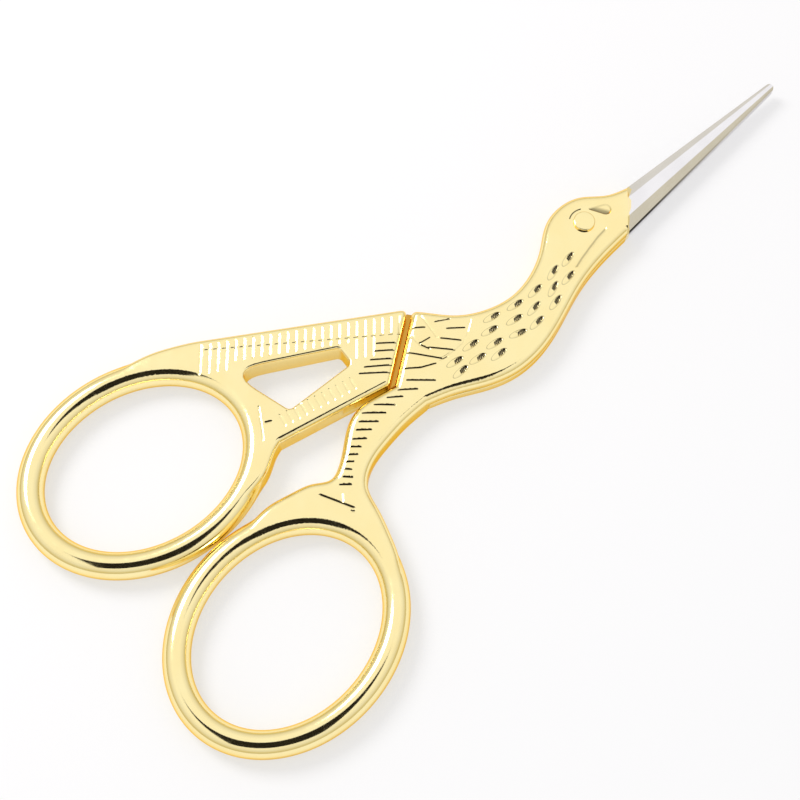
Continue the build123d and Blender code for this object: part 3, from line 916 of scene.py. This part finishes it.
front_net = Net()
front_net.line(front_back_edge)
front_net.line(front_belly_edge)
front_net.line(straight(plating_top, plating_bottom))
front_net.line(parting)
front_net.line(parting + step_width * normals_of(parting))
front_net.line(circle(shank_bore), loop=True)
front_net.grooves(body_grooves)
front_net.feathers()
front_net.line(teardrop, loop=True)
front_net.line(teardrop + teardrop_depth * normals_of(teardrop), loop=True)
for edge in front_edges:
    front_net.rim(edge, body_edge_round, front_edges, front_polygon)
for edge in (seam_line, back_line, belly_line):
    front_net.rim(edge, lap_edge_round, front_edges, front_polygon, 2)
for edge in leg_edges:
    front_net.rim(edge, back_edge_round, leg_edges, leg_polygon)
front_net.ring(-1)
front_net.dots(grid(lambda p: inside(p, front_polygon) & ~inside(p, lower_hole), front_edges, blend_pitch))
front_piece = half_mesh("front_gold", front_net, front_area, front_top, front_bottom, front_painted_shade)


# Rear half: the hidden body layer, the tail in full thickness and the upper bow
rear_edges = [rear_top_edge, rear_belly_line, np.vstack([rear_arm_line[:-1], tail_low_line])]
tail_step = tail_edge - step_width * normals_of(tail_edge)
foot_bore = rivet_foot_radius + pivot_clearance
window_loop = closed(window_line)


def rear_area(points):
    solid = inside(points, rear_polygon) | inside(points, tail_polygon) | inside(points, upper_outline)
    open_places = inside(points, upper_hole) | inside(points, window_line)
    return solid & ~open_places & (from_pivot(points) > rear_bore * bore_share)


def in_tail(points):
    """Where the rear half is full thickness: tail and bow."""
    tail = in_or_on(points, tail_polygon, tail_edge)
    return tail | in_or_on(points, upper_outline, closed(upper_outline))


def rear_top(points):
    plate = plate_drop(points, [tail_edge], tail_polygon, tail_edge_round)
    window = round_drop(distance(points, window_loop), window_edge_round)
    ring, past_crest = ring_drop(points, 1)
    raised = body_thickness - np.maximum(blended(plate, ring, past_crest), window) - groove_cut(points, tail_grooves)
    lap = lap_bottom - round_drop(nearest_edge(points, rear_edges), lap_edge_round)
    return np.where(in_tail(points), raised, lap)


def rear_groove(points):
    cut = np.maximum(groove_cut(points, tail_grooves), groove_cut(points, body_grooves))
    return cut + feather_cut(points)


# Painted shade of the rear half: groove bottoms and feather rims, and on its hidden layer the seam's painted amber
# shade
def rear_painted_shade(points, top):
    dark = groove_cut(points, tail_grooves, 3)
    if top:
        # Painted amber shade along the seam on the hidden layer, as values below 0
        return np.where(in_tail(points), dark, -np.clip(2 - distance(points, seam_line) / seam_gap, 0, 1))
    return np.maximum(np.maximum(dark, groove_cut(points, body_grooves, 3)), feather_painted_shade(points))


def rear_bottom(points):
    plate = plate_drop(points, rear_edges, rear_polygon, back_edge_round)
    window = round_drop(distance(points, window_loop), window_edge_round)
    ring, past_crest = ring_drop(points, 1)
    foot = rivet_foot_depth * np.clip((foot_bore - from_pivot(points)) / (foot_bore - rear_bore), 0, 1)
    return np.maximum(blended(plate, ring, past_crest), window) + rear_groove(points) + foot


rear_net = Net()
for edge in rear_edges:
    rear_net.line(edge)
rear_net.line(straight(plating_top, plating_bottom))
rear_net.line(straight(kink_low, crotch_low))
rear_net.line(tail_edge)
rear_net.line(tail_step, inside(tail_step, rear_polygon))
rear_net.line(window_line, loop=True)
rear_net.line(circle(rear_bore), loop=True)
rear_net.line(circle(foot_bore), loop=True)
rear_net.grooves(body_grooves)
rear_net.grooves(tail_grooves)
rear_net.feathers()
for edge in rear_edges:
    rear_net.rim(edge, back_edge_round, rear_edges, rear_polygon)
for edge in (back_line, rear_belly_line):
    rear_net.rim(edge, lap_edge_round, rear_edges, rear_polygon, 2)
rear_net.rim(tail_edge, tail_edge_round, [tail_edge], tail_polygon)
rear_net.rim(window_loop, window_edge_round, [window_loop], rear_polygon)
rear_net.ring(1)
rear_net.dots(grid(lambda p: inside(p, rear_polygon) & ~inside(p, upper_hole), rear_edges + [tail_edge], blend_pitch))
rear_piece = half_mesh("rear_gold", rear_net, rear_area, rear_top, rear_bottom, rear_painted_shade)


# Rivet: a lathe form whose head is the eye
def rivet_mesh():
    top = body_thickness + rivet_head_height
    rim = rivet_head_radius - rivet_head_round
    profile = [
        (0, 0),
        (rivet_foot_radius, 0),
        (rivet_shank_radius, rivet_foot_depth),
        (rivet_shank_radius, body_thickness),
        (rivet_head_radius, body_thickness),
    ]
    for i in range(head_steps + 1):
        t = pi / 2 * i / head_steps
        profile.append((rim + rivet_head_round * cos(t), top - head_dome - rivet_head_round * (1 - sin(t))))
    profile.append((rim * dome_share, top - head_dome * dome_share**2))
    profile.append((0, top))
    places, faces, rows = [], [], []
    for radius, height in profile:
        if radius:
            rows.append(list(range(len(places), len(places) + rivet_sides)))
            places += [(x * MM, y * MM, height * MM) for x, y in circle(radius, rivet_sides)]
        else:
            rows.append([len(places)] * rivet_sides)
            places.append((pivot_x * MM, pivot_offset * MM, height * MM))
    for low, high in zip(rows, rows[1:]):
        for i in range(rivet_sides):
            j = (i + 1) % rivet_sides
            corners = [low[i], low[j], high[j], high[i]]
            faces.append([c for k, c in enumerate(corners) if c not in corners[:k]])
    mesh = bpy.data.meshes.new("eye_rivet")
    mesh.from_pydata(places, [], faces)
    mesh.attributes.new("engraving", "FLOAT", "POINT")
    return smooth_piece("eye_rivet", mesh)


rivet_piece = rivet_mesh()

for piece, body, node in (
    (front_piece, "front_half", "front_handle"),
    (rear_piece, "rear_half", "rear_handle"),
    (rivet_piece, "front_half", "pivot_rivet"),
):
    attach(piece, body)
    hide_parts(node)


# Materials
class Nodes:
    """Short calls for the nodes of a material or a world."""

    def __init__(self, tree):
        self.tree = tree

    def add(self, kind, **values):
        node = self.tree.nodes.new(kind)
        for name, value in values.items():
            setattr(node, name, value)
        return node

    def link(self, start, end):
        self.tree.links.new(start, end)

    def noise(self, vector, scale, detail):
        node = self.add("ShaderNodeTexNoise")
        node.inputs["Scale"].default_value = scale
        node.inputs["Detail"].default_value = detail
        self.link(vector, node.inputs["Vector"])
        return node.outputs["Fac"]

    def cloud(self, vector, scale, detail):
        """Soft patches from 0 to 1."""
        return self.spread(self.noise(vector, scale, detail), 0.35, 0.65, 0.0, 1.0)

    def spread(self, value, low, high, start, end):
        """Maps a value from one span to another."""
        node = self.add("ShaderNodeMapRange")
        for name, number in (("From Min", low), ("From Max", high), ("To Min", start), ("To Max", end)):
            node.inputs[name].default_value = number
        self.link(value, node.inputs["Value"])
        return node.outputs["Result"]

    def mix(self, factor, first, second):
        """Blend of two colours; each is a colour or an output."""
        node = self.add("ShaderNodeMix", data_type="RGBA")
        self.link(factor, node.inputs["Factor"])
        for socket, colour in ((node.inputs[6], first), (node.inputs[7], second)):
            if isinstance(colour, tuple):
                socket.default_value = (*colour, 1)
            else:
                self.link(colour, socket)
        return node.outputs[2]

    def maths(self, operation, *parts):
        """One sum of outputs and numbers."""
        node = self.add("ShaderNodeMath", operation=operation)
        for socket, part in zip(node.inputs, parts):
            if isinstance(part, float):
                socket.default_value = part
            else:
                self.link(part, socket)
        return node.outputs["Value"]

    def seen(self):
        """1 for what the camera sees, directly, in a reflection or through glass."""
        rays = self.add("ShaderNodeLightPath")
        total = rays.outputs["Is Camera Ray"]
        for name in ("Is Glossy Ray", "Is Transmission Ray"):
            total = self.maths("MAXIMUM", total, rays.outputs[name])
        return total


class Shader(Nodes):
    """A new material."""

    def __init__(self, name):
        self.material = bpy.data.materials.new(name)
        self.material.use_nodes = True
        super().__init__(self.material.node_tree)
        self.surface = self.tree.nodes["Principled BSDF"]
        self.place = self.add("ShaderNodeTexCoord").outputs["Object"]

    def bump(self, height, strength):
        node = self.add("ShaderNodeBump")
        node.inputs["Strength"].default_value = strength
        node.inputs["Distance"].default_value = bump_depth
        self.link(height, node.inputs["Height"])
        self.link(node.outputs["Normal"], self.surface.inputs["Normal"])


def gold_material():
    """Bright gold plating. Painted shade darkens the engraving towards near black, and a painted amber shade lies
    along the seam.
    """
    gold = Shader("gold_plating")
    # The engraving attribute is painted shade, not depth: above 0 it darkens the plating, below 0 it is the seam's
    # painted amber shade
    depth = gold.add("ShaderNodeAttribute", attribute_name="engraving").outputs["Fac"]
    painted_shade = gold.spread(depth, 0.2, 0.75, 0.0, 0.97)
    plating = gold.mix(gold.cloud(gold.place, gold_cloud_scale, 3), *gold_colours)
    # Painted amber shade on the rear half's hidden layer along the seam, where the attribute is below 0
    plating = gold.mix(gold.spread(depth, -1.0, 0.0, 1.0, 0.0), plating, seam_painted_shade)
    gold.link(gold.mix(painted_shade, plating, painted_shade_colour), gold.surface.inputs["Base Color"])
    polish = gold.spread(gold.noise(gold.place, gold_polish_scale, 3), 0.3, 0.7, 0.07, 0.13)
    gold.link(polish, gold.surface.inputs["Roughness"])
    gold.surface.inputs["Metallic"].default_value = 1
    gold.surface.inputs["Specular Tint"].default_value = (*gold_edge_tint, 1)
    gold.bump(gold.noise(gold.place, gold_grain_scale, 2), 0.06)
    return gold.material


def steel_material():
    """Ground steel with fine lines along the blade, painted shade near the plane between the blades and a painted
    shadow on the front blade's land.
    """
    steel = Shader("ground_steel")
    along = steel.add("ShaderNodeMapping")
    along.inputs["Scale"].default_value = (0.05, 1, 1)
    steel.link(steel.place, along.inputs["Vector"])
    lines = steel.noise(along.outputs["Vector"], steel_line_scale, 3)
    axes = steel.add("ShaderNodeSeparateXYZ")
    steel.link(steel.place, axes.inputs["Vector"])
    x, y, z = (axes.outputs[name] for name in "XYZ")

    # Painted shade: the steel is darker close to the plane between the blades
    away = steel.maths("ABSOLUTE", steel.maths("SUBTRACT", z, half_thickness * MM))
    steel_shade_mask = steel.spread(away, steel_shade_low * MM, steel_shade_high * MM, 0.4, 0.0)
    bare = steel.mix(steel_shade_mask, steel.mix(steel.cloud(steel.place, steel_cloud_scale, 2), *steel_colours), steel_painted_shade)

    # Painted shadow: the front blade's land near its root is near black
    above = steel.spread(z, land_low * MM, (land_low + land_soft) * MM, 0.0, 1.0)
    below = steel.spread(z, land_high * MM, (land_high + land_soft) * MM, 1.0, 0.0)
    reach = steel.spread(x, plating_x * MM, (plating_x + land_reach) * MM, 1.0, 0.0)
    land_shadow_mask = steel.maths("MULTIPLY", steel.maths("MULTIPLY", above, below), reach)
    bare = steel.mix(land_shadow_mask, bare, land_painted_shadow)

    slope = (plating_top[0] - plating_bottom[0]) / (plating_top[1] - plating_bottom[1])
    across = steel.maths("MULTIPLY_ADD", y, -slope, x)
    ragged = steel.maths("MULTIPLY_ADD", steel.noise(steel.place, ragged_scale, 1), -plating_ragged * MM, across)
    start = (plating_bottom[0] - slope * plating_bottom[1] - plating_ragged / 4) * MM
    plated = steel.spread(ragged, start, start + plating_soft * MM, 1.0, 0.0)
    steel.link(steel.mix(plated, bare, plated_colour), steel.surface.inputs["Base Color"])
    steel.link(steel.spread(lines, 0.3, 0.7, 0.12, 0.24), steel.surface.inputs["Roughness"])
    steel.surface.inputs["Metallic"].default_value = 1
    steel.bump(lines, 0.05)
    return steel.material


gold_plating = gold_material()
ground_steel = steel_material()
for piece in (front_piece, rear_piece, rivet_piece):
    piece.data.materials.append(gold_plating)
for name in ("front_blade", "rear_blade"):
    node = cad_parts[name]
    node.data.materials.clear()
    node.data.materials.append(ground_steel)


# Floor, lights and surroundings
def aim(piece, way, axis="Z"):
    piece.rotation_mode = "QUATERNION"
    piece.rotation_quaternion = way.to_track_quat(axis, "Y")


def plane(name, centre, size):
    half = size / 2
    corners = [(-half, -half, 0), (half, -half, 0), (half, half, 0), (-half, half, 0)]
    mesh = bpy.data.meshes.new(name)
    mesh.from_pydata([tuple(c * MM for c in corner) for corner in corners], [], [(0, 1, 2, 3)])
    piece = placed(name, mesh)
    piece.location = Vector(centre) * MM
    return piece


def matt(name, scale, low_colour, high_colour, roughness):
    """Matt material with soft patches of two colours."""
    shader = Shader(name)
    colour = shader.mix(shader.cloud(shader.place, scale, 1), low_colour, high_colour)
    shader.link(colour, shader.surface.inputs["Base Color"])
    shader.surface.inputs["Roughness"].default_value = roughness
    shader.surface.inputs["Specular IOR Level"].default_value = 0
    return shader


def floor_material():
    """Pale floor that keeps shadows; part of what is seen of it is plain white."""
    floor = matt("pale_floor", floor_scale, *floor_colours, 0.9)
    white = floor.add("ShaderNodeEmission")
    white.inputs["Color"].default_value = (1, 1, 1, 1)
    white.inputs["Strength"].default_value = 1
    both = floor.add("ShaderNodeMixShader")
    floor.link(floor.maths("MULTIPLY", floor.seen(), floor_white_share), both.inputs["Fac"])
    floor.link(floor.surface.outputs["BSDF"], both.inputs[1])
    floor.link(white.outputs["Emission"], both.inputs[2])
    floor.link(both.outputs["Shader"], floor.tree.nodes["Material Output"].inputs["Surface"])
    return floor.material


floor = plane("floor", (0, 0, 0), floor_size)
floor.data.materials.append(floor_material())

look = Vector(look_place)
camera_place = Vector(camera_at)
view_way = (camera_place - look).normalized()

dark_card = plane("dark_card", look + view_way * card_distance, card_size)
aim(dark_card, -view_way)
dark_card.data.materials.append(
    matt("dark_cloth", card_scale, tuple(c * 0.9 for c in card_colour), card_colour, 1.0).material
)
dark_card.visible_camera = False
dark_card.visible_diffuse = False
dark_card.visible_shadow = False
dark_card.visible_transmission = False

key_data = bpy.data.lights.new("key_light", "AREA")
key_data.shape = "DISK"
key_data.size = key_size * MM
key_data.energy = key_power
key_light = placed("key_light", key_data)
key_light.location = Vector(key_place) * MM
aim(key_light, Vector(key_place) - look)

world = bpy.data.worlds.new("studio")
world.use_nodes = True
bpy.context.scene.world = world
sky = Nodes(world.node_tree)
background = sky.tree.nodes["Background"]
axes = sky.add("ShaderNodeSeparateXYZ")
sky.link(sky.add("ShaderNodeTexCoord").outputs["Generated"], axes.inputs["Vector"])
strength = sky.add("ShaderNodeMix")
strength.inputs["A"].default_value = plain_strength
sky.link(sky.seen(), strength.inputs["Factor"])
climb = sky.spread(axes.outputs["Z"], 0.0, full_height, horizon_strength, full_strength)
sky.link(climb, strength.inputs["B"])
sky.link(strength.outputs["Result"], background.inputs["Strength"])
warmth = sky.maths("MULTIPLY", sky.spread(axes.outputs["Z"], warm_low, warm_high, 1.0, 0.0), sky.seen())
sky.link(sky.mix(warmth, sky_colour, warm_colour), background.inputs["Color"])

# Camera
camera_data = bpy.data.cameras.new("camera")
camera_data.lens = camera_lens
camera_data.sensor_width = camera_sensor
camera_data.clip_start = 0.01
camera = placed("camera", camera_data)
camera.location = camera_place * MM
aim(camera, look - camera_place, "-Z")
bpy.context.scene.camera = camera

bpy.context.scene.view_settings.view_transform = "Standard"
